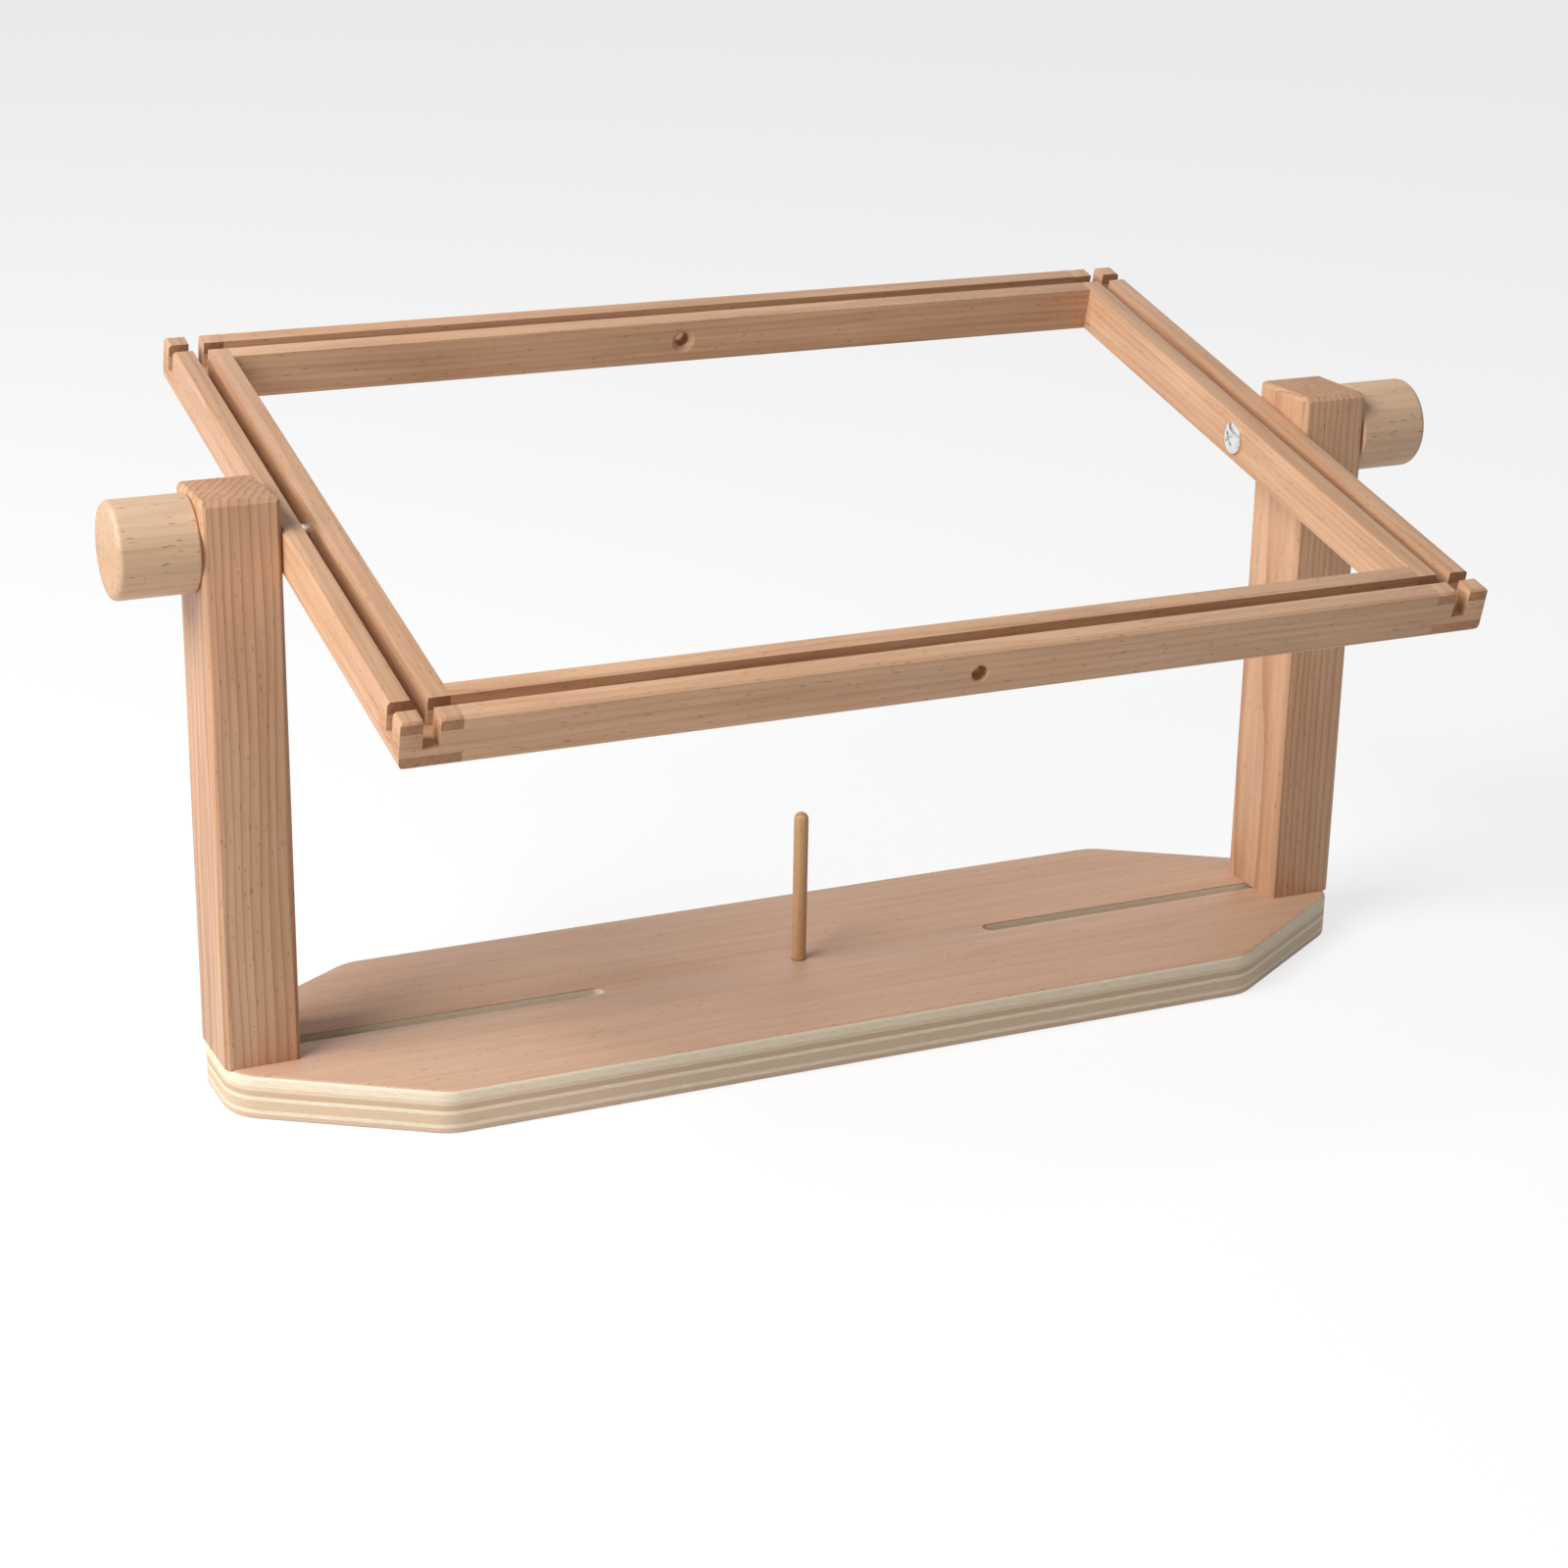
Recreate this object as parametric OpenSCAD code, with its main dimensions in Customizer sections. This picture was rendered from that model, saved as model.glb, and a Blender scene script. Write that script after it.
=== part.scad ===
// Embroidery frame stand: a grooved wooden frame that tilts between two posts on a slotted base board.
// Units are millimetres. +X points right, +Y back and +Z up.
// The origin is the middle of the base board's underside.

/* [Frame] */
// Width of the frame over its outer faces
frame_w = 438; // [300:1:600]
// Depth of the frame over its outer faces
frame_d = 308; // [220:1:340]
// Width of a rail, seen from above
rail_w = 22.5; // [20:0.5:30]
// Height of a rail
rail_h = 18.5; // [17:0.5:26]
// Width of the groove that takes the fabric clamping tube
groove_w = 6.2; // [4:0.1:8]
// Depth of that groove
groove_depth = 11; // [7:0.5:12]
// Height of the tenon through each corner
tenon_h = 8.9; // [6:0.1:10]
// Rounding of the side rails' lower outer edges
rail_low_round = 3; // [1.5:0.5:4]
// How far the frame's other outer edges are eased
rail_ease = 1; // [0.5:0.1:1.5]
// Tilt of the frame at rest, front edge down
frame_tilt = 13; // [-60:1:60]
// Diameter of the countersink at the inner end of each rail's bolt hole
rail_sink_d = 10.4; // [8:0.1:12]
// Depth of that countersink
rail_sink_depth = 2; // [1:0.1:3]
// Width of the small chamfer at the outer end of each rail's bolt hole
rail_mouth = 0.6; // [0.2:0.1:1]

/* [Posts] */
// Width of a post, along X
post_w = 30; // [24:1:40]
// Depth of a post, along Y
post_d = 36; // [28:1:42]
// Height of a post above the base board
post_h = 224; // [205:1:280]
// Distance from a post's top down to the frame's pivot
pivot_drop = 19; // [18.5:0.5:30]
// How far a post's edges are eased
post_ease = 1.8; // [0.5:0.1:3]
// Gap between the frame and each post
frame_gap = 0.3; // [0.2:0.1:2]

/* [Base board] */
// Depth of the board
board_d = 136; // [110:1:200]
// Thickness of the board
board_t = 18; // [15:0.5:25]
// Distance from each foot bolt to the board's end
board_end = 14.7; // [14:0.1:40]
// Length of each corner cut, along X
corner_cut_x = 73; // [40:1:90]
// Length of each corner cut, along Y
corner_cut_y = 47; // [25:1:47]
// Rounding of the outline's corners
outline_round = 20; // [5:1:22]
// Width of each slot
slot_w = 7; // [6.5:0.1:8]
// Distance from the board's middle to each slot's inner end
slot_start = 87; // [60:1:120]
// How far each post can slide outwards
post_travel = 3; // [1:0.1:3]
// Depth of the channel under each slot
channel_depth = 7; // [6:0.5:9]

/* [Thread peg] */
// Diameter of the peg
peg_d = 6; // [4:0.5:10]
// Height of the peg above the board
peg_h = 65; // [40:1:70]
// Depth of the peg's socket
peg_sink = 12; // [8:0.5:13]
// Width of the small chamfer round the socket's mouth
peg_mouth = 0.6; // [0.2:0.1:1]
// Depth by which the peg's foot is turned down to a spigot that drops into the board
peg_foot_cut = 0.5; // [0.4:0.1:1]
// Gap between the board and the peg's shoulder, because the spigot stands on its socket's floor
peg_shoulder = 0.2; // [0.1:0.1:1]

/* [Knobs] */
// Diameter of a knob
knob_d = 37; // [30:0.5:50]
// Length of a knob
knob_l = 31; // [26:0.5:45]
// Rounding of a knob's outer rim
knob_round = 2.5; // [1:0.1:5]
// Rounding of the rim that meets the post
knob_rear_round = 1.2; // [0.5:0.1:3]
// Depth of wood left beyond the bolt's tip hole
knob_tip_room = 3; // [1:0.5:6]

/* [Hardware] */
// Diameter of all the bolts
bolt_d = 6; // [5:0.5:6]
// Length of a pivot bolt under its head
pivot_bolt_l = 70; // [68:1:72]
// Diameter of a pivot bolt's head
pivot_head_d = 13; // [12:0.5:16]
// Height of a pivot bolt's head at its middle
pivot_head_h = 2.6; // [2:0.1:3.5]
// Height of the straight rim of that head
pivot_head_rim = 0.9; // [0.5:0.1:1.4]
// Length of a foot bolt under its head
foot_bolt_l = 25; // [20:1:27]
// Diameter of a foot bolt's head
foot_head_d = 14; // [11:0.5:15]
// Height of a foot bolt's head
foot_head_h = 3; // [2.5:0.1:3.4]
// Width across the flats of a foot bolt's hex socket
hex_af = 4; // [3:0.5:5]
// Diameter of a foot washer
washer_d = 16; // [14:0.5:18]
// Thickness of a foot washer
washer_t = 1.5; // [1:0.1:2]
// Diameter of a threaded insert
insert_d = 9.6; // [8.5:0.1:12]
// Length of a threaded insert
insert_l = 15; // [10:1:18]
// Diameter of the flange on a knob's insert
flange_d = 13; // [12.5:0.5:16]
// Thickness of that flange
flange_t = 1.2; // [1:0.1:2]

/* [Fits] */
// Radial clearance of a bolt in a wooden hole
bolt_clear = 0.1; // [0.05:0.05:0.5]
// Radial clearance of a bolt in its threaded insert
thread_clear = 0.05; // [0.02:0.01:0.1]
// Radial clearance of an insert in its wood
insert_clear = 0.05; // [0.02:0.01:0.1]
// Radial clearance of the peg in its socket
peg_clear = 0.1; // [0.05:0.05:0.3]
// Clearance of a washer in its channel, on each side
channel_clear = 0.5; // [0.2:0.1:1]

/* [Hidden] */
$fn = 96;

// How far a cutting shape runs past the face that it opens
past = 1;
// Sides of the frame and of the stand
LEFT = -1;
RIGHT = 1;
FRONT = -1;
BACK = 1;

// Places along X
foot_x = frame_w / 2 + frame_gap + post_w / 2;
post_outer_x = foot_x + post_w / 2;
board_half = foot_x + board_end;
rail_x = (frame_w - rail_w) / 2;
rail_inner_x = frame_w / 2 - rail_w;
slot_end = foot_x + post_travel + bolt_d / 2;

// Places along Y
rail_y = (frame_d - rail_w) / 2;

// Heights
pivot_z = board_t + post_h - pivot_drop;
washer_z = channel_depth - washer_t;
foot_head_z = washer_z - foot_head_h;

// Widths and bores
channel_w = washer_d + 2 * channel_clear;
wood_bore_d = bolt_d + 2 * bolt_clear;
thread_bore_d = bolt_d + 2 * thread_clear;
insert_hole_d = insert_d + 2 * insert_clear;
peg_foot_d = peg_d - 2 * peg_foot_cut;
peg_hole_d = peg_foot_d + 2 * peg_clear;

// Depths of the holes that take a bolt's end
knob_hole_depth = rail_inner_x + pivot_bolt_l + knob_tip_room - post_outer_x;
foot_hole_depth = washer_z + foot_bolt_l + knob_tip_room - board_t;

// Colours of the finishes
BEECH = "#d9a577";
RAIL_BEECH = "#cf9263";
KNOB_BEECH = "#e0bd92";
BOARD = "#e3bb98";
PEG_WOOD = "#d3a063";
STEEL = "#c4c6c8";
BRASS = "#b8a06a";

// Plan shapes

// A rectangle about the origin with its corners planed off
module eased_rect(w, h, ease) {
    polygon([
        [-w / 2, h / 2 - ease], [-w / 2 + ease, h / 2], [w / 2 - ease, h / 2], [w / 2, h / 2 - ease],
        [w / 2, -h / 2 + ease], [w / 2 - ease, -h / 2], [-w / 2 + ease, -h / 2], [-w / 2, -h / 2 + ease]
    ]);
}

// A stadium along X from x0 to x1, both taken at the round ends' tips
module stadium(x0, x1, w) {
    translate([x0 + w / 2, -w / 2]) square([x1 - x0 - w, w]);
    translate([x0 + w / 2, 0]) circle(d = w);
    translate([x1 - w / 2, 0]) circle(d = w);
}

function unit(v) = v / norm(v);

// Half of the angle inside corner i of a closed outline
function half_angle(pts, i) = let (
        n = len(pts),
        before = unit(pts[(i + n - 1) % n] - pts[i]),
        after = unit(pts[(i + 1) % n] - pts[i])
    ) acos(before * after) / 2;

// Centre of the arc that rounds corner i by r
function arc_centre(pts, i, r) = let (
        n = len(pts),
        before = unit(pts[(i + n - 1) % n] - pts[i]),
        after = unit(pts[(i + 1) % n] - pts[i])
    ) pts[i] + unit(before + after) * r / sin(half_angle(pts, i));

// Point where that arc leaves the side towards corner j
function arc_end(pts, i, j, r) = pts[i] + unit(pts[j] - pts[i]) * r / tan(half_angle(pts, i));

// A convex outline with its corners rounded by true arcs
module rounded_outline(pts, r) {
    n = len(pts);
    polygon([for (i = [0 : n - 1]) each [
        arc_end(pts, i, (i + n - 1) % n, r),
        arc_end(pts, i, (i + 1) % n, r)
    ]]);
    for (i = [0 : n - 1]) translate(arc_centre(pts, i, r)) circle(r);
}

// Base board and peg

// The long board with its four corners cut off
module board_outline() {
    side_y = board_d / 2;
    cut_x = board_half - corner_cut_x;
    end_y = side_y - corner_cut_y;
    rounded_outline([
        [board_half, -end_y], [board_half, end_y], [cut_x, side_y], [-cut_x, side_y],
        [-board_half, end_y], [-board_half, -end_y], [-cut_x, -side_y], [cut_x, -side_y]
    ], outline_round);
}

// The through slot of one post, with the wider channel under it for the bolt's head and washer
module foot_slot(side) {
    wider = (channel_w - slot_w) / 2;
    mirror([side == LEFT ? 1 : 0, 0, 0]) {
        translate([0, 0, -past])
            linear_extrude(board_t + 2 * past)
                stadium(slot_start, slot_end + (slot_w - bolt_d) / 2, slot_w);
        translate([0, 0, -past])
            linear_extrude(channel_depth + past)
                stadium(slot_start - wider, slot_end + (slot_w - bolt_d) / 2 + wider, channel_w);
    }
}

module base_board() {
    color(BOARD) difference() {
        linear_extrude(board_t) board_outline();
        foot_slot(LEFT);
        foot_slot(RIGHT);
        translate([0, 0, board_t - peg_sink]) cylinder(d = peg_hole_d, h = peg_sink + past);
        translate([0, 0, board_t - peg_mouth])
            cylinder(d1 = peg_hole_d, d2 = peg_hole_d + 4 * peg_mouth, h = 2 * peg_mouth);
    }
}

module thread_peg() {
    color(PEG_WOOD) translate([0, 0, board_t - peg_sink]) {
        cylinder(d = peg_foot_d, h = peg_sink + peg_shoulder);
        translate([0, 0, peg_sink + peg_shoulder])
            cylinder(d = peg_d, h = peg_h - peg_shoulder - peg_d / 2);
        translate([0, 0, peg_sink + peg_h - peg_d / 2]) sphere(d = peg_d);
    }
}

// Posts and their feet

// A bore along X through or into one side of the stand, from x0 to x1
module side_bore(side, x0, x1, d) {
    translate([side * x0, 0, pivot_z]) rotate([0, side * 90, 0]) cylinder(d = d, h = x1 - x0);
}

module post(side) {
    difference() {
        translate([side * foot_x, 0, board_t]) intersection() {
            linear_extrude(post_h) eased_rect(post_w, post_d, post_ease);
            rotate([90, 0, 0]) linear_extrude(post_d + 2 * past, center = true)
                eased_rect(post_w, 2 * post_h, post_ease);
            rotate([90, 0, 90]) linear_extrude(post_w + 2 * past, center = true)
                eased_rect(post_d, 2 * post_h, post_ease);
        }
        side_bore(side, foot_x - post_w / 2 - past, post_outer_x + past, wood_bore_d);
        translate([side * foot_x, 0, board_t - past]) cylinder(d = insert_hole_d, h = insert_l + past);
        translate([side * foot_x, 0, board_t]) cylinder(d = wood_bore_d, h = foot_hole_depth);
    }
}

module left_post() {
    color(BEECH) post(LEFT);
}

module right_post() {
    color(BEECH) post(RIGHT);
}

// A flat headed bolt, pushed up through the board into its post
module foot_bolt(side) {
    socket_depth = foot_head_h * 0.7;
    translate([side * foot_x, 0, foot_head_z]) difference() {
        union() {
            cylinder(d = foot_head_d, h = foot_head_h);
            cylinder(d = bolt_d, h = foot_head_h + foot_bolt_l);
        }
        translate([0, 0, -past]) cylinder(d = hex_af / cos(30), h = socket_depth + past, $fn = 6);
    }
}

module left_foot_bolt() {
    color(STEEL) foot_bolt(LEFT);
}

module right_foot_bolt() {
    color(STEEL) foot_bolt(RIGHT);
}

module foot_washer(side) {
    translate([side * foot_x, 0, washer_z]) difference() {
        cylinder(d = washer_d, h = washer_t);
        translate([0, 0, -past]) cylinder(d = wood_bore_d, h = washer_t + 2 * past);
    }
}

module left_foot_washer() {
    color(STEEL) foot_washer(LEFT);
}

module right_foot_washer() {
    color(STEEL) foot_washer(RIGHT);
}

module foot_insert(side) {
    translate([side * foot_x, 0, board_t]) difference() {
        cylinder(d = insert_d, h = insert_l);
        translate([0, 0, -past]) cylinder(d = thread_bore_d, h = insert_l + 2 * past);
    }
}

module left_foot_insert() {
    color(BRASS) foot_insert(LEFT);
}

module right_foot_insert() {
    color(BRASS) foot_insert(RIGHT);
}

// Knobs

// Half section of a turned knob: radius along X, length along Y, the post's face at the bottom
module knob_section() {
    r = knob_d / 2;
    polygon([
        [0, 0], [r - knob_rear_round, 0], [r, knob_rear_round],
        [r, knob_l - knob_round], [r - knob_round, knob_l], [0, knob_l]
    ]);
    translate([r - knob_rear_round, knob_rear_round]) circle(knob_rear_round);
    translate([r - knob_round, knob_l - knob_round]) circle(knob_round);
}

module knob(side) {
    difference() {
        translate([side * post_outer_x, 0, pivot_z]) rotate([0, side * 90, 0])
            rotate_extrude() knob_section();
        side_bore(side, post_outer_x - past, post_outer_x + flange_t, flange_d + 2 * insert_clear);
        side_bore(side, post_outer_x - past, post_outer_x + insert_l, insert_hole_d);
        side_bore(side, post_outer_x, post_outer_x + knob_hole_depth, wood_bore_d);
    }
}

module left_knob() {
    color(KNOB_BEECH) knob(LEFT);
}

module right_knob() {
    color(KNOB_BEECH) knob(RIGHT);
}

// The flanged nut inside a knob
module knob_insert(side) {
    difference() {
        union() {
            side_bore(side, post_outer_x, post_outer_x + flange_t, flange_d);
            side_bore(side, post_outer_x, post_outer_x + insert_l, insert_d);
        }
        side_bore(side, post_outer_x - past, post_outer_x + insert_l + past, thread_bore_d);
    }
}

module left_knob_insert() {
    color(BRASS) knob_insert(LEFT);
}

module right_knob_insert() {
    color(BRASS) knob_insert(RIGHT);
}

// Frame: everything below is made level about the pivot and then tilted

module tilted() {
    translate([0, 0, pivot_z]) rotate([frame_tilt, 0, 0]) children();
}

// The frame's outer block with its edges eased
module frame_block() {
    intersection() {
        rotate([90, 0, 0]) linear_extrude(frame_d, center = true) eased_rect(frame_w, rail_h, rail_ease);
        rotate([90, 0, 90]) linear_extrude(frame_w, center = true) eased_rect(frame_d, rail_h, rail_ease);
    }
}

// What rounding takes off a side rail's lower outer edge
module low_edge_waste(side) {
    mirror([side == LEFT ? 1 : 0, 0, 0])
        translate([frame_w / 2 - rail_low_round, 0, -rail_h / 2 + rail_low_round])
            rotate([90, 0, 0]) linear_extrude(frame_d + 2 * past, center = true) difference() {
                translate([0, -rail_low_round - past]) square(rail_low_round + past);
                circle(rail_low_round);
            }
}

// The four grooves, which cross near the corners and run out through the outer faces
module grooves() {
    floor_z = rail_h / 2 - groove_depth;
    for (s = [-1, 1]) {
        translate([s * rail_x - groove_w / 2, -frame_d / 2 - past, floor_z])
            cube([groove_w, frame_d + 2 * past, groove_depth + past]);
        translate([-frame_w / 2 - past, s * rail_y - groove_w / 2, floor_z])
            cube([frame_w + 2 * past, groove_w, groove_depth + past]);
    }
}

// A rail's bolt hole along Z, from the inner face at 0 to the outer face at rail_w
module rail_hole() {
    mouth_d = wood_bore_d + 4 * rail_mouth;
    sink_slope = (rail_sink_d - wood_bore_d) / rail_sink_depth;
    translate([0, 0, -past]) cylinder(d = wood_bore_d, h = rail_w + 2 * past);
    translate([0, 0, -past])
        cylinder(d1 = rail_sink_d + sink_slope * past, d2 = wood_bore_d, h = rail_sink_depth + past);
    translate([0, 0, rail_w - rail_mouth]) cylinder(d1 = wood_bore_d, d2 = mouth_d, h = 2 * rail_mouth);
}

// A rail along Y, forked at both ends round the other rails' tenons
module side_rail(side) {
    tilted() difference() {
        intersection() {
            frame_block();
            translate([side * (rail_inner_x + frame_w / 2), 0, 0])
                cube([frame_w, frame_d + 2 * past, rail_h + 2 * past], center = true);
        }
        for (end = [FRONT, BACK])
            translate([0, end * (frame_d - rail_w), 0])
                cube([frame_w + 2 * past, frame_d, tenon_h], center = true);
        grooves();
        low_edge_waste(side);
        translate([side * rail_inner_x, 0, 0]) rotate([0, side * 90, 0]) rail_hole();
    }
}

module left_rail() {
    color(RAIL_BEECH) side_rail(LEFT);
}

module right_rail() {
    color(RAIL_BEECH) side_rail(RIGHT);
}

// A rail along X, with a tenon at each end right through the side rail
module cross_rail(end) {
    tilted() difference() {
        intersection() {
            frame_block();
            translate([0, end * (frame_d - rail_w), 0]) union() {
                cube([2 * rail_inner_x, frame_d, rail_h + 2 * past], center = true);
                cube([frame_w + 2 * past, frame_d, tenon_h], center = true);
            }
        }
        grooves();
        translate([0, end * (frame_d / 2 - rail_w), 0]) rotate([-end * 90, 0, 0]) rail_hole();
    }
}

module front_rail() {
    color(RAIL_BEECH) cross_rail(FRONT);
}

module back_rail() {
    color(RAIL_BEECH) cross_rail(BACK);
}

// The dome that meets a rim pivot_head_rim high at the edge of the head
module domed_head() {
    rise = pivot_head_h - pivot_head_rim;
    dome_r = (pow(pivot_head_d / 2, 2) + rise * rise) / (2 * rise);
    intersection() {
        cylinder(d = pivot_head_d, h = pivot_head_h);
        translate([0, 0, pivot_head_h - dome_r]) sphere(dome_r);
    }
}

// A bolt from the rail's inner face outwards, with a cross recess in its domed head
module pivot_bolt(side) {
    recess_l = pivot_head_d * 0.5;
    recess_w = pivot_head_d * 0.1;
    recess_depth = pivot_head_h * 0.6;
    tilted() translate([side * rail_inner_x, 0, 0]) rotate([0, side * 90, 0]) difference() {
        union() {
            mirror([0, 0, 1]) domed_head();
            cylinder(d = bolt_d, h = pivot_bolt_l);
        }
        for (turn = [0, 90])
            rotate([0, 0, turn + 45]) translate([0, 0, -pivot_head_h])
                cube([recess_l, recess_w, 2 * recess_depth], center = true);
    }
}

module left_pivot_bolt() {
    color(STEEL) pivot_bolt(LEFT);
}

module right_pivot_bolt() {
    color(STEEL) pivot_bolt(RIGHT);
}

base_board();
thread_peg();
left_post();
right_post();
left_foot_bolt();
right_foot_bolt();
left_foot_washer();
right_foot_washer();
left_foot_insert();
right_foot_insert();
left_knob();
right_knob();
left_knob_insert();
right_knob_insert();
left_pivot_bolt();
right_pivot_bolt();
front_rail();
back_rail();
left_rail();
right_rail();
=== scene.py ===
# %% [markdown]
# # An embroidery frame stand, dressed from its CAD frame
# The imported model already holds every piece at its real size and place.
# This lesson loads it, gives each piece its finish, and softens what a saw and a lathe
# leave sharp in a drawing. Everything is in metres, in the frame of the CAD.

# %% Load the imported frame
import math

import bmesh
import bpy
from mathutils import Euler, Matrix, Vector


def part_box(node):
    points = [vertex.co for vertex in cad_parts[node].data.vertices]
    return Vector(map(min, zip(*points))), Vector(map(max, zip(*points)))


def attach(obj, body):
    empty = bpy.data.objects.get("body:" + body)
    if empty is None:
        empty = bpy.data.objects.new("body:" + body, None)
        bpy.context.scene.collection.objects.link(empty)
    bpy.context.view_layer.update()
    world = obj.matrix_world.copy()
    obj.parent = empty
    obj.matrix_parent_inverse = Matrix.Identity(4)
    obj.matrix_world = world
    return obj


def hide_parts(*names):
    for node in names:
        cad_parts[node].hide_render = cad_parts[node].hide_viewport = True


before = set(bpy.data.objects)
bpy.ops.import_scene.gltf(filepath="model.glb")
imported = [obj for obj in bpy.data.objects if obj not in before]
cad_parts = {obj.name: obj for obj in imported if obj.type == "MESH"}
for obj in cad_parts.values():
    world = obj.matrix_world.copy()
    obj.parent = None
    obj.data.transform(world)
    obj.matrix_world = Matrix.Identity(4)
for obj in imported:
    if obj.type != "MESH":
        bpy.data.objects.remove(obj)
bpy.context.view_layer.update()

MM = 0.001

# %% [markdown]
# ## Sizes
# Sizes come from the frame, so that the pieces follow the CAD if it changes.
# The board's thickness is the one size that a material needs: its layers are shares of it.

# %% Sizes from the frame
SIDES = ("left", "right")
board_low, board_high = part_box("base_board")
board_top = board_high[2]
print("board top", round(board_top / MM, 2), "mm")

# %% [markdown]
# ## Camera
# The photograph was taken with a long lens from the front left, a little above the frame.
# The place and the lens were worked out from the corners of the board, posts and rails.

# %% Camera at the photograph's angle
CAMERA_PLACE = (-0.5365, -1.1488, 0.5566)
CAMERA_AZIMUTH = 24.7
CAMERA_DOWN = 20.0
CAMERA_ROLL = 1.0
LENS = 75.73

camera_data = bpy.data.cameras.new("photo_camera")
camera_data.lens = LENS
camera_data.sensor_width = 36
camera_data.clip_end = 50
camera = bpy.data.objects.new("photo_camera", camera_data)
bpy.context.scene.collection.objects.link(camera)
turn = Euler((0, 0, -math.radians(CAMERA_AZIMUTH))).to_matrix()
turn = turn @ Euler((math.radians(90 - CAMERA_DOWN), 0, 0)).to_matrix()
turn = turn @ Euler((0, 0, math.radians(CAMERA_ROLL))).to_matrix()
camera.matrix_world = Matrix.Translation(CAMERA_PLACE) @ turn.to_4x4()
bpy.context.scene.camera = camera
print("camera at", CAMERA_PLACE)

# %% [markdown]
# ## Light, world and floor
# One large soft lamp stands at the upper left: left faces and tops are bright, and the
# fronts are about half as bright. The world is white where the camera or a shiny surface
# sees it, and dim where it lights the wood. The floor shows white and keeps a soft shadow.

# %% Soft key lamp
KEY_DIRECTION = Vector((-0.76, -0.16, 0.63)).normalized()
KEY_DISTANCE = 2.5
KEY_SIZE = 1.7
KEY_LEVEL = 1.28
AIM_HEIGHT = 0.12

key_data = bpy.data.lights.new("key_lamp", "AREA")
key_data.shape = "SQUARE"
key_data.size = KEY_SIZE
key_data.energy = KEY_LEVEL * math.pi ** 2 * KEY_DISTANCE ** 2
key = bpy.data.objects.new("key_lamp", key_data)
key.location = KEY_DIRECTION * KEY_DISTANCE + Vector((0, 0, AIM_HEIGHT))
key.rotation_euler = KEY_DIRECTION.to_track_quat("Z", "Y").to_euler()
bpy.context.scene.collection.objects.link(key)
print("key lamp", round(key_data.energy), "W")


# %% Node helpers
def add(tree, kind, inputs=None, **settings):
    """Adds a node, sets its settings, and feeds its inputs with values or sockets."""
    node = tree.nodes.new(kind)
    for name, value in settings.items():
        setattr(node, name, value)
    for name, value in (inputs or {}).items():
        socket = node.inputs[name]
        if isinstance(value, bpy.types.NodeSocket):
            tree.links.new(value, socket)
        else:
            socket.default_value = value
    return node


def calc(tree, operation, *values):
    """A Math node's result."""
    return add(tree, "ShaderNodeMath", dict(enumerate(values)), operation=operation).outputs[0]


def seen_directly(tree):
    """1 for rays from the camera and for reflections and refractions, else 0."""
    path = add(tree, "ShaderNodeLightPath")
    shiny = calc(tree, "MAXIMUM", path.outputs["Is Glossy Ray"], path.outputs["Is Transmission Ray"])
    return calc(tree, "MAXIMUM", path.outputs["Is Camera Ray"], shiny)


print("helpers ready")

# %% White world
WORLD_LEVEL = 0.19

world = bpy.data.worlds.new("studio")
bpy.context.scene.world = world
world.use_nodes = True
tree = world.node_tree
tree.nodes.clear()
dim = add(tree, "ShaderNodeBackground", {"Color": (1, 1, 1, 1), "Strength": WORLD_LEVEL})
white = add(tree, "ShaderNodeBackground", {"Color": (1, 1, 1, 1), "Strength": 1.0})
mix = add(tree, "ShaderNodeMixShader", {0: seen_directly(tree), 1: dim.outputs[0], 2: white.outputs[0]})
add(tree, "ShaderNodeOutputWorld", {"Surface": mix.outputs[0]})
bpy.context.scene.view_settings.view_transform = "Standard"
print("world ready")

# %% Floor that stays white but keeps the shadow
FLOOR_HALF = 6.0
FLOOR_DROP = 0.05 * MM
FLOOR_PALE = 0.8
FLOOR_SHADE = 0.3
FLOOR_GLOW = 0.74

floor_material = bpy.data.materials.new("pale_floor")
floor_material.use_nodes = True
tree = floor_material.node_tree
tree.nodes.clear()
plain = add(tree, "ShaderNodeBsdfDiffuse", {"Color": (FLOOR_PALE, FLOOR_PALE, FLOOR_PALE, 1)})
shade = add(tree, "ShaderNodeBsdfDiffuse", {"Color": (FLOOR_SHADE, FLOOR_SHADE, FLOOR_SHADE, 1)})
glow = add(tree, "ShaderNodeEmission", {"Color": (1, 1, 1, 1), "Strength": FLOOR_GLOW})
lit = add(tree, "ShaderNodeAddShader", {0: shade.outputs[0], 1: glow.outputs[0]})
mix = add(tree, "ShaderNodeMixShader", {0: seen_directly(tree), 1: plain.outputs[0], 2: lit.outputs[0]})
add(tree, "ShaderNodeOutputMaterial", {"Surface": mix.outputs[0]})

floor_mesh = bpy.data.meshes.new("floor")
quarters = ((-1, -1), (1, -1), (1, 1), (-1, 1))
corners = [(x * FLOOR_HALF, y * FLOOR_HALF, -FLOOR_DROP) for x, y in quarters]
floor_mesh.from_pydata(corners, [], [(0, 1, 2, 3)])
floor = bpy.data.objects.new("floor", floor_mesh)
floor_mesh.materials.append(floor_material)
bpy.context.scene.collection.objects.link(floor)
print("floor ready")


# %% [markdown]
# ## Beech, as a solid pattern
# Beech is pale and even, with soft growth rings, fine streaks and many short dark flecks
# along the grain. A solid pattern, cut by each face of a piece, gives long lines on the
# sides and arcs on the ends, as in real wood. It is a shader group, because posts, rails,
# knobs, peg and board veneer share it, each with its own colours and its own turn.

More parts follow.
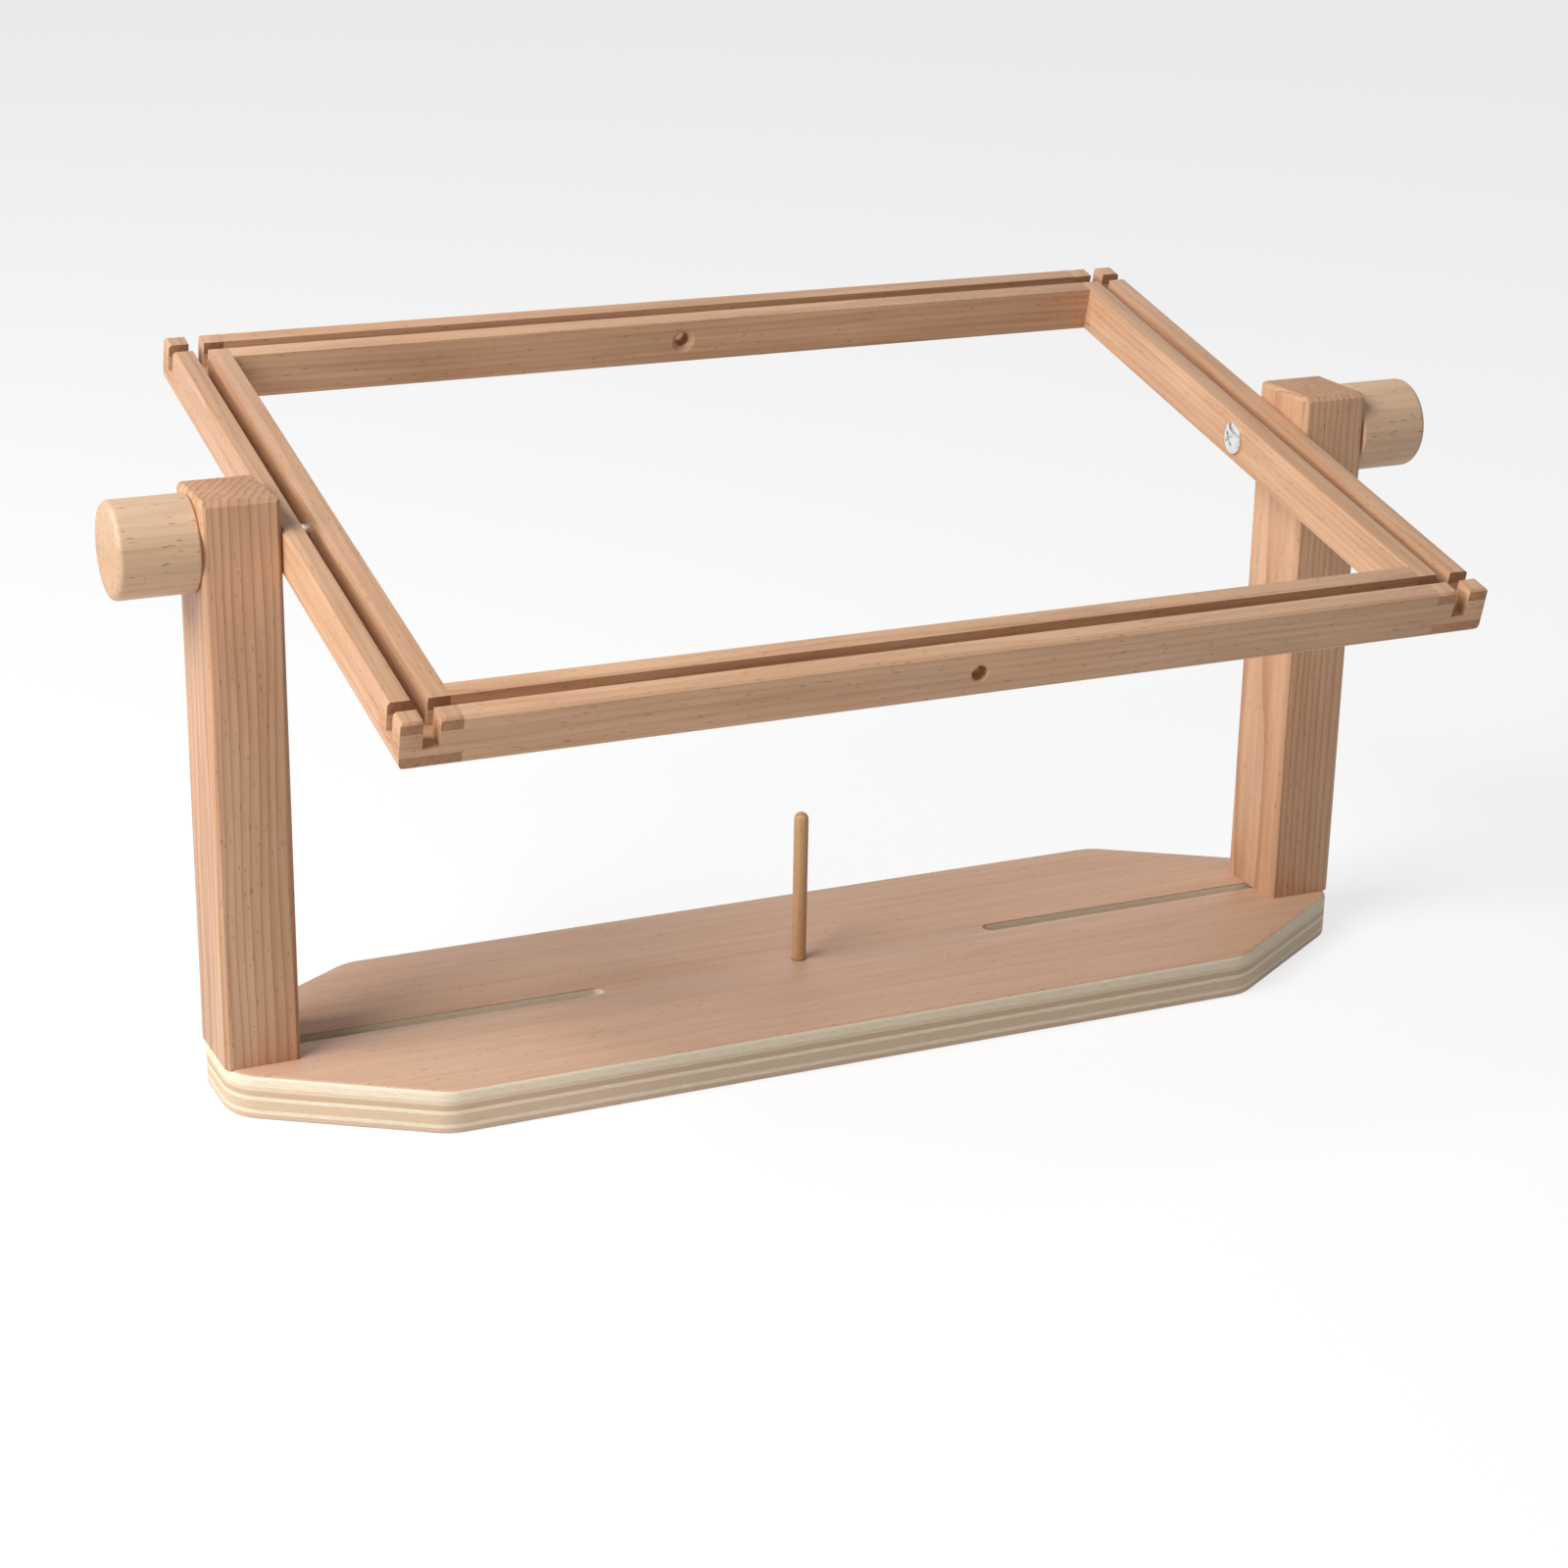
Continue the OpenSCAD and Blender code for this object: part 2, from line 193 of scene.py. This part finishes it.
# %% A group's sockets
def shader_group(name, inputs, outputs):
    """An empty shader node group with named sockets."""
    group = bpy.data.node_groups.new(name, "ShaderNodeTree")
    for label, kind, value in inputs:
        socket = group.interface.new_socket(label, in_out="INPUT", socket_type=kind)
        if value is not None:
            socket.default_value = value
    for label, kind in outputs:
        group.interface.new_socket(label, in_out="OUTPUT", socket_type=kind)
    return group, group.nodes.new("NodeGroupInput").outputs, group.nodes.new("NodeGroupOutput").inputs


def blend_colour(tree, factor, first, second, mode="MIX"):
    """A Mix node's colour."""
    node = add(tree, "ShaderNodeMix", data_type="RGBA", blend_type=mode)
    for index, value in ((0, factor), (6, first), (7, second)):
        if isinstance(value, bpy.types.NodeSocket):
            tree.links.new(value, node.inputs[index])
        else:
            node.inputs[index].default_value = value
    return node.outputs[2]


def smooth_step(tree, value, low, high):
    """0 below low, 1 above high, with a soft change between."""
    names = {"Value": value, "From Min": low, "From Max": high}
    return add(tree, "ShaderNodeMapRange", names, interpolation_type="SMOOTHSTEP").outputs["Result"]


print("group helpers ready")

# %% The beech group
FLOAT, VECTOR, COLOUR = "NodeSocketFloat", "NodeSocketVector", "NodeSocketColor"
RING_STEP = 3.2 * MM
RING_WANDER = 9 * MM

beech, given, put = shader_group(
    "Beech grain",
    [("Place", VECTOR, None), ("Facing", VECTOR, None), ("Pale", COLOUR, None), ("Deep", COLOUR, None),
     ("Pith Y", FLOAT, 0.03), ("Pith Z", FLOAT, -0.04), ("Ring Depth", FLOAT, 0.4),
     ("Fleck Depth", FLOAT, 0.6), ("End Depth", FLOAT, 0.3)],
    [("Color", COLOUR), ("Roughness", FLOAT), ("Height", FLOAT)])


def stretched(tree, place, along):
    """The place squeezed along the grain, which draws a pattern out into streaks."""
    node = add(tree, "ShaderNodeVectorMath", {0: place, 1: (along, 1, 1)}, operation="MULTIPLY")
    return node.outputs[0]


def noise(tree, place, scale, detail=3.0):
    """A noise value from 0 to 1."""
    names = {"Vector": place, "Scale": scale, "Detail": detail, "Roughness": 0.6}
    return add(tree, "ShaderNodeTexNoise", names).outputs["Fac"]


wander = noise(beech, stretched(beech, given["Place"], 0.12), 34.0, 2.0)
parts = add(beech, "ShaderNodeSeparateXYZ", {0: given["Place"]}).outputs
across = calc(beech, "SUBTRACT", parts[1], given["Pith Y"])
upward = calc(beech, "SUBTRACT", parts[2], given["Pith Z"])
across = calc(beech, "MULTIPLY", across, across)
upward = calc(beech, "MULTIPLY", upward, upward)
radius = calc(beech, "SQRT", calc(beech, "ADD", across, upward))
radius = calc(beech, "ADD", radius, calc(beech, "MULTIPLY", wander, RING_WANDER))
phase = calc(beech, "FRACT", calc(beech, "DIVIDE", radius, RING_STEP))
late_wood = calc(beech, "POWER", phase, 3.5)
late_wood = calc(beech, "MULTIPLY", late_wood, smooth_step(beech, phase, 1.0, 0.93))
print("rings every", RING_STEP / MM, "mm")

# %% Streaks, flecks and end grain in the group
fine = noise(beech, stretched(beech, given["Place"], 0.03), 1500.0, 4.0)
medium = noise(beech, stretched(beech, given["Place"], 0.05), 260.0, 3.0)
broad = noise(beech, stretched(beech, given["Place"], 0.3), 22.0, 2.0)
cells = {"Vector": stretched(beech, given["Place"], 0.16), "Scale": 720.0}
cells = add(beech, "ShaderNodeTexVoronoi", cells)
near = smooth_step(beech, cells.outputs["Distance"], 0.26, 0.1)
some = smooth_step(beech, noise(beech, given["Place"], 420.0, 1.0), 0.42, 0.6)
fleck = calc(beech, "MULTIPLY", near, some)
depth = calc(beech, "MULTIPLY", late_wood, given["Ring Depth"])
for pattern, share in (
        (smooth_step(beech, medium, 0.35, 0.7), 0.28),
        (smooth_step(beech, broad, 0.35, 0.7), 0.3),
        (fine, 0.16)):
    depth = calc(beech, "ADD", depth, calc(beech, "MULTIPLY", pattern, share))
wood = blend_colour(beech, depth, given["Pale"], given["Deep"])
FLECK_TINT = (0.42, 0.3, 0.22, 1)
END_TINT = (0.6, 0.47, 0.37, 1)
dark = blend_colour(beech, 1.0, wood, FLECK_TINT, "MULTIPLY")
wood = blend_colour(beech, calc(beech, "MULTIPLY", fleck, given["Fleck Depth"]), wood, dark)
facing = add(beech, "ShaderNodeSeparateXYZ", {0: given["Facing"]}).outputs[0]
end = smooth_step(beech, calc(beech, "ABSOLUTE", facing), 0.6, 0.9)
browner = blend_colour(beech, 1.0, wood, END_TINT, "MULTIPLY")
wood = blend_colour(beech, calc(beech, "MULTIPLY", end, given["End Depth"]), wood, browner)
beech.links.new(wood, put["Color"])
rough = calc(beech, "ADD", calc(beech, "MULTIPLY", fine, 0.16), calc(beech, "MULTIPLY", end, 0.14))
beech.links.new(calc(beech, "ADD", rough, 0.42), put["Roughness"])
height = calc(beech, "SUBTRACT", calc(beech, "MULTIPLY", fine, 0.4), calc(beech, "MULTIPLY", fleck, 0.7))
beech.links.new(height, put["Height"])
print("beech group has", len(beech.nodes), "nodes")


# %% [markdown]
# ## One material for each run of the grain
# The pattern runs along X. A Mapping node turns it to the way each piece was sawn, and
# moves it, so that no two pieces are cut from the same spot of the tree.

# %% A finished surface
def surface(tree, finish, colour, strength, depth, metallic=0.0):
    """The shader of every finish: a colour, and a group's roughness and height."""
    relief = {"Height": finish["Height"], "Strength": strength, "Distance": depth}
    bump = add(tree, "ShaderNodeBump", relief)
    shader = add(tree, "ShaderNodeBsdfPrincipled", {
        "Base Color": colour, "Roughness": finish["Roughness"],
        "Normal": bump.outputs[0], "Metallic": metallic})
    add(tree, "ShaderNodeOutputMaterial", {"Surface": shader.outputs[0]})


print("surface helper ready")


# %% Beech material
def beech_material(
        name, pale, deep, turned=(0, 0, 0), moved=(0, 0, 0), rings=0.4, flecks=0.6, ends=0.3):
    """Bare sanded beech with its grain turned and moved."""
    material = bpy.data.materials.new(name)
    material.use_nodes = True
    tree = material.node_tree
    tree.nodes.clear()
    where = add(tree, "ShaderNodeTexCoord").outputs
    angles = tuple(math.radians(angle) for angle in turned)
    spot = {"Vector": where["Object"], "Location": moved, "Rotation": angles}
    place = add(tree, "ShaderNodeMapping", spot)
    way = {"Vector": where["Normal"], "Rotation": angles}
    face = add(tree, "ShaderNodeMapping", way, vector_type="VECTOR")
    grain = add(tree, "ShaderNodeGroup", node_tree=beech)
    tree.links.new(place.outputs[0], grain.inputs["Place"])
    tree.links.new(face.outputs[0], grain.inputs["Facing"])
    values = {
        "Pale": pale + (1,), "Deep": deep + (1,),
        "Ring Depth": rings, "Fleck Depth": flecks, "End Depth": ends}
    for label, value in values.items():
        grain.inputs[label].default_value = value
    surface(tree, grain.outputs, grain.outputs["Color"], 0.35, 0.12 * MM)
    return material


PINK_BEECH = (0.7, 0.435, 0.265)
PINK_BEECH_DEEP = (0.43, 0.205, 0.1)
PALE_BEECH = (0.74, 0.52, 0.345)
PALE_BEECH_DEEP = (0.5, 0.29, 0.16)
GRAIN_UP = (0, 90, 0)
GRAIN_BACK = (-13, 0, -90)
GRAIN_TILTED = (-13, 0, 0)
PEG_BEECH = (0.62, 0.37, 0.19)
PEG_BEECH_DEEP = (0.42, 0.22, 0.1)


def pink(name, turned, moved, **depths):
    """Beech of the posts and rails."""
    return beech_material(name, PINK_BEECH, PINK_BEECH_DEEP, turned, moved, **depths)


def pale(name, moved):
    """Beech of the knobs, turned along X."""
    return beech_material(name, PALE_BEECH, PALE_BEECH_DEEP, moved=moved, rings=0.3, flecks=0.8)


wood_of = {
    "left_post": pink("left_post_beech", GRAIN_UP, (0, 0.21, 0.05), rings=0.75),
    "right_post": pink("right_post_beech", GRAIN_UP, (0.3, 0.11, -0.27), rings=0.75),
    "front_rail": pink("front_rail_beech", GRAIN_TILTED, (0.1, 0.2, 0.03)),
    "back_rail": pink("back_rail_beech", GRAIN_TILTED, (0.7, -0.1, 0.06)),
    "left_rail": pink("left_rail_beech", GRAIN_BACK, (0.2, 0.25, 0.02), ends=0.75),
    "right_rail": pink("right_rail_beech", GRAIN_BACK, (0.5, 0.1, 0.05), ends=0.75),
    "left_knob": pale("left_knob_beech", (0, 0.02, -0.2)),
    "right_knob": pale("right_knob_beech", (0.4, 0.03, -0.24)),
    "thread_peg": beech_material(
        "peg_wood", PEG_BEECH, PEG_BEECH_DEEP, GRAIN_UP, (0, 0.01, 0.02), ends=0.4),
}
print("beech materials:", len(wood_of))

# %% [markdown]
# ## Plywood
# The board's faces are thin beech veneer. Its rounded edge cuts through the layers below:
# cream and tan bands, alternately long grain and end grain. The bands are a colour ramp
# over the height, in shares of the board's thickness from the top down.

# %% Plywood material
VENEER = 0.6 * MM
PLY_BANDS = [
    (0.0, (0.86, 0.74, 0.56)), (0.25, (0.76, 0.61, 0.43)), (0.34, (0.58, 0.42, 0.27)),
    (0.47, (0.87, 0.75, 0.58)), (0.56, (0.68, 0.52, 0.35)), (0.78, (0.86, 0.74, 0.56)),
    (0.87, (0.66, 0.48, 0.34)),
]
ply = bpy.data.materials.new("ply_board")
ply.use_nodes = True
tree = ply.node_tree
tree.nodes.clear()
where = add(tree, "ShaderNodeTexCoord").outputs
spot = {"Vector": where["Object"], "Location": (0.2, 0.05, 0.05)}
place = add(tree, "ShaderNodeMapping", spot).outputs[0]
grain = add(tree, "ShaderNodeGroup", node_tree=beech)
tree.links.new(place, grain.inputs["Place"])
values = {
    "Pale": (0.66, 0.42, 0.285, 1), "Deep": (0.48, 0.27, 0.165, 1),
    "Ring Depth": 0.25, "Fleck Depth": 0.55, "End Depth": 0.0}
for label, value in values.items():
    grain.inputs[label].default_value = value
high = add(tree, "ShaderNodeSeparateXYZ", {0: where["Object"]}).outputs[2]
waver = calc(tree, "MULTIPLY", calc(tree, "SUBTRACT", noise(tree, where["Object"], 60.0), 0.5), 0.5 * MM)
sunk = calc(tree, "DIVIDE", calc(tree, "SUBTRACT", board_top, calc(tree, "ADD", high, waver)), board_top)
ramp = add(tree, "ShaderNodeValToRGB", {"Fac": sunk})
ramp.color_ramp.interpolation = "CONSTANT"
while len(ramp.color_ramp.elements) < len(PLY_BANDS):
    ramp.color_ramp.elements.new(0.5)
for element, (share, colour) in zip(ramp.color_ramp.elements, PLY_BANDS):
    element.position = share
    element.color = colour + (1,)
flat = {0: where["Object"], 1: (0.08, 0.08, 1)}
squeezed = add(tree, "ShaderNodeVectorMath", flat, operation="MULTIPLY").outputs[0]
streak = smooth_step(tree, noise(tree, squeezed, 2600.0, 4.0), 0.3, 0.75)
edge = blend_colour(tree, calc(tree, "MULTIPLY", streak, 0.35), ramp.outputs[0], (0.5, 0.35, 0.22, 1))
from_face = calc(tree, "MINIMUM", high, calc(tree, "SUBTRACT", board_top, high))
in_veneer = smooth_step(tree, from_face, VENEER + 0.05 * MM, VENEER)
skin = blend_colour(tree, in_veneer, edge, grain.outputs["Color"])
surface(tree, grain.outputs, skin, 0.3, 0.1 * MM)
print("ply bands:", len(PLY_BANDS))

# %% [markdown]
# ## Metals
# The pivot bolts are bright plated steel, the foot bolts and washers duller zinc, and the
# inserts brass. All three share a group of fine scratches and a clouded roughness.

# %% Metal finish
wear, given, put = shader_group(
    "Fine metal wear",
    [("Place", VECTOR, None), ("Clean", COLOUR, None), ("Worn", COLOUR, None),
     ("Smooth", FLOAT, 0.2), ("Dull", FLOAT, 0.4)],
    [("Color", COLOUR), ("Roughness", FLOAT), ("Height", FLOAT)])
cloud = smooth_step(wear, noise(wear, given["Place"], 260.0, 4.0), 0.35, 0.7)
scratch = noise(wear, stretched(wear, given["Place"], 0.05), 5200.0, 2.0)
wear.links.new(blend_colour(wear, cloud, given["Clean"], given["Worn"]), put["Color"])
spread = calc(wear, "SUBTRACT", given["Dull"], given["Smooth"])
wear.links.new(calc(wear, "ADD", given["Smooth"], calc(wear, "MULTIPLY", cloud, spread)), put["Roughness"])
wear.links.new(scratch, put["Height"])


def metal(name, clean, worn, smooth, dull):
    """A plated metal with fine wear."""
    material = bpy.data.materials.new(name)
    material.use_nodes = True
    tree = material.node_tree
    tree.nodes.clear()
    finish = add(tree, "ShaderNodeGroup", node_tree=wear)
    tree.links.new(add(tree, "ShaderNodeTexCoord").outputs["Object"], finish.inputs["Place"])
    values = {"Clean": clean + (1,), "Worn": worn + (1,), "Smooth": smooth, "Dull": dull}
    for label, value in values.items():
        finish.inputs[label].default_value = value
    surface(tree, finish.outputs, finish.outputs["Color"], 0.12, 0.02 * MM, metallic=1.0)
    return material


bright_steel = metal("bright_steel", (0.82, 0.81, 0.8), (0.7, 0.69, 0.68), 0.1, 0.24)
zinc_steel = metal("zinc_steel", (0.66, 0.67, 0.68), (0.5, 0.5, 0.5), 0.28, 0.5)
insert_brass = metal("insert_brass", (0.82, 0.62, 0.3), (0.6, 0.42, 0.2), 0.22, 0.4)
print("metals ready")


# %% [markdown]
# ## Softened pieces
# A drawing's edges are sharp, and a sanded piece's are not. Each wooden piece is a copy of
# its CAD mesh: its loose triangles are merged, flat areas are joined into single faces,
# and every sharp edge gets a small rounding.

# %% Copy, merge and round a CAD node
def merged_copy(node):
    """A node's mesh with its doubles merged and flat triangles joined."""
    mesh = bmesh.new()
    mesh.from_mesh(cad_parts[node].data)
    bmesh.ops.remove_doubles(mesh, verts=mesh.verts, dist=0.002 * MM)
    bmesh.ops.dissolve_limit(mesh, angle_limit=math.radians(0.5), verts=mesh.verts, edges=mesh.edges)
    bmesh.ops.recalc_face_normals(mesh, faces=mesh.faces)
    return mesh


def sharp_edges(mesh, least=35, wanted=lambda edge: True):
    """Edges where two faces meet at more than an angle, in degrees."""
    limit = math.radians(least)
    between = [e for e in mesh.edges if len(e.link_faces) == 2]
    return [e for e in between if e.calc_face_angle(0) > limit and wanted(e)]


def round_edges(mesh, edges, width, steps=3):
    """Rounds edges by a width."""
    bmesh.ops.bevel(
        mesh, geom=edges, offset=width, offset_type="OFFSET", segments=steps, profile=0.5,
        affect="EDGES", clamp_overlap=True)


def place_piece(mesh, name, material, body, node):
    """Turns an edited mesh into a finished piece on its body."""
    data = bpy.data.meshes.new(name)
    mesh.to_mesh(data)
    mesh.free()
    data.materials.append(material)
    data.shade_smooth()
    data.set_sharp_from_angle(angle=math.radians(32))
    piece = bpy.data.objects.new(name, data)
    bpy.context.scene.collection.objects.link(piece)
    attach(piece, body)
    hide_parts(node)
    print(name, len(data.polygons), "faces")
    return piece


# %% Posts, rails, peg and knobs
POST_EASE = 0.5 * MM
RAIL_EASE = 0.35 * MM
KNOB_EASE = 0.2 * MM
PEG_EASE = 0.05 * MM
SOFT_PIECES = [
    ("left_post", "left_post", "post_beech", POST_EASE),
    ("right_post", "right_post", "post_beech", POST_EASE),
    ("front_rail", "frame", "rail_beech", RAIL_EASE),
    ("back_rail", "frame", "rail_beech", RAIL_EASE),
    ("left_rail", "frame", "rail_beech", RAIL_EASE),
    ("right_rail", "frame", "rail_beech", RAIL_EASE),
    ("left_knob", "left_knob", "knob_beech", KNOB_EASE),
    ("right_knob", "right_knob", "knob_beech", KNOB_EASE),
    ("thread_peg", "peg", "peg_wood", PEG_EASE),
]
for node, body, slot, width in SOFT_PIECES:
    mesh = merged_copy(node)
    round_edges(mesh, sharp_edges(mesh), width)
    place_piece(mesh, node + "_wood", wood_of[node], body, node)

# %% [markdown]
# ## The board
# Its top edge is rounded over by about two millimetres, so that the veneer ends inside a
# cream band. The underside's edge is only broken, and the slots' edges are barely eased.

# %% Round the board's edges
TOP_ROUND = 2.1 * MM
LOW_ROUND = 0.9 * MM
SLOT_ROUND = 0.25 * MM
HALF_CLEAR = 20 * MM
END_CLEAR = 247 * MM


def on_outline(edge):
    """True for an edge of the board's outside."""
    return all(abs(v.co.y) > HALF_CLEAR or abs(v.co.x) > END_CLEAR for v in edge.verts)


def at_height(edge, height):
    """True for an edge that lies at a height."""
    return all(abs(v.co.z - height) < 0.01 * MM for v in edge.verts)


mesh = merged_copy("base_board")
top = sharp_edges(mesh, 35, lambda e: on_outline(e) and at_height(e, board_top))
round_edges(mesh, top, TOP_ROUND, 5)
low = sharp_edges(mesh, 60, lambda e: on_outline(e) and at_height(e, 0))
round_edges(mesh, low, LOW_ROUND, 3)
round_edges(mesh, sharp_edges(mesh, 60, lambda e: not on_outline(e)), SLOT_ROUND, 2)
place_piece(mesh, "base_board_ply", ply, "base", "base_board")

# %% [markdown]
# ## Hardware
# The bolts, washers and inserts keep their CAD shape, which is exact, and get their metal.

# %% Metals on the hardware
FINISH_OF = {
    "pivot_bolt": bright_steel, "foot_bolt": zinc_steel, "foot_washer": zinc_steel,
    "foot_insert": insert_brass, "knob_insert": insert_brass}
for side in SIDES:
    for part, finish in FINISH_OF.items():
        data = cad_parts[f"{side}_{part}"]
        for slot in data.material_slots:
            slot.material = finish
print("hardware finished")
